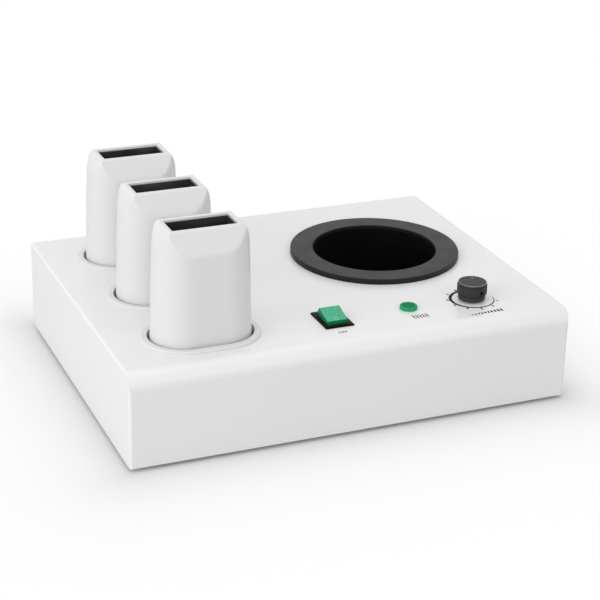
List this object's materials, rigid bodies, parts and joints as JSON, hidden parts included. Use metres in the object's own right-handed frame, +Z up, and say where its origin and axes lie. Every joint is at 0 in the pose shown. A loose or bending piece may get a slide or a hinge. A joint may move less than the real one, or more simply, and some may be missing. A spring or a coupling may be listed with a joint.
{
  "type": "roll-on wax heater",
  "caption": "Low white box heater for depilatory wax with a round pot well, a row of lift-out heaters for flat roll-on cartridges, a rocker switch, a lamp and a heat dial.",
  "frame": {"origin": "the middle of the footprint at the table that the feet stand on", "axes": "+Z up, +X along the front to the right, -Y to the front with the controls"},
  "size_m": [0.36, 0.276, 0.167],
  "materials": {
    "white_enamel": "gloss",
    "zinc_steel": "satin",
    "plated_screw": "satin",
    "black_rubber": "matte",
    "charcoal_plastic": "satin",
    "black_coated_aluminium": "satin",
    "heater_mica": "matte",
    "ceramic": "matte",
    "wool": "matte",
    "brown_phenolic": "matte",
    "brass": "satin",
    "copper": "satin",
    "bright_ring": "polished",
    "white_mark": "matte",
    "black_plastic": "satin",
    "green_rocker": "gloss",
    "green_lens": "gloss",
    "white_plastic": "gloss",
    "dark_anodised": "satin",
    "heater_foil": "satin",
    "wire_sleeve": "matte"
  },
  "bodies": {
    "housing": {"cover": "white_enamel", "base_tray": "zinc_steel", "cover_brackets": "zinc_steel", "case_screws": "plated_screw", "feet": "black_rubber", "well_ring": "charcoal_plastic", "ring_screws": "plated_screw", "heating_well": "black_coated_aluminium", "band_heater": "heater_mica", "band_clamp_screw": "plated_screw", "well_insulation": "wool", "well_spacer": "ceramic", "well_screw": "plated_screw", "thermostat_body": "brown_phenolic", "thermostat_terminals": "brass", "thermostat_nut": "plated_screw", "thermostat_bulb": "copper", "sensor_clips": "zinc_steel", "thermal_fuse": "ceramic", "switch_housing": "black_plastic", "switch_terminals": "brass", "lamp_body": "white_plastic", "lamp_lens": "green_lens", "lamp_nut": "white_plastic", "dock_1": "white_plastic", "dock_2": "white_plastic", "dock_3": "white_plastic", "dock_pins_1": "brass", "dock_pins_2": "brass", "dock_pins_3": "brass", "dock_retainers": "zinc_steel", "power_inlet": "black_plastic", "inlet_pins": "brass", "inlet_screws": "plated_screw", "terminal_block": "white_plastic", "earth_stud": "plated_screw", "wiring_loom": "wire_sleeve"},
    "knob": {"knob_body": "charcoal_plastic", "knob_rim": "bright_ring", "knob_pointer": "white_mark", "knob_set_screw": "plated_screw", "thermostat_shaft": "zinc_steel"},
    "rocker": {"switch_rocker": "green_rocker"},
    "rollon_1": {"rollon_shell_1": "white_plastic", "rollon_chamber_1": "dark_anodised", "rollon_heater_1": "heater_foil", "rollon_base_1": "white_plastic", "rollon_sockets_1": "brass"},
    "rollon_2": {"rollon_shell_2": "white_plastic", "rollon_chamber_2": "dark_anodised", "rollon_heater_2": "heater_foil", "rollon_base_2": "white_plastic", "rollon_sockets_2": "brass"},
    "rollon_3": {"rollon_shell_3": "white_plastic", "rollon_chamber_3": "dark_anodised", "rollon_heater_3": "heater_foil", "rollon_base_3": "white_plastic", "rollon_sockets_3": "brass"}
  },
  "joints": [
    {"name": "dial_turn", "type": "hinge", "parent": "housing", "child": "knob", "pos_m": [0.1162, -0.0935, 0.077], "axis": [0, 0, 1], "range_deg": [0, 290]},
    {"name": "rocker_tilt", "type": "hinge", "parent": "housing", "child": "rocker", "pos_m": [-0.0035, -0.0935, 0.076], "axis": [-1, 0, 0], "range_deg": [0, 30]},
    {"name": "rollon_1_lift", "type": "slide", "parent": "housing", "child": "rollon_1", "axis": [0, 0, 1], "range_m": [0, 0.12]},
    {"name": "rollon_2_lift", "type": "slide", "parent": "housing", "child": "rollon_2", "axis": [0, 0, 1], "range_m": [0, 0.12]},
    {"name": "rollon_3_lift", "type": "slide", "parent": "housing", "child": "rollon_3", "axis": [0, 0, 1], "range_m": [0, 0.12]}
  ]
}
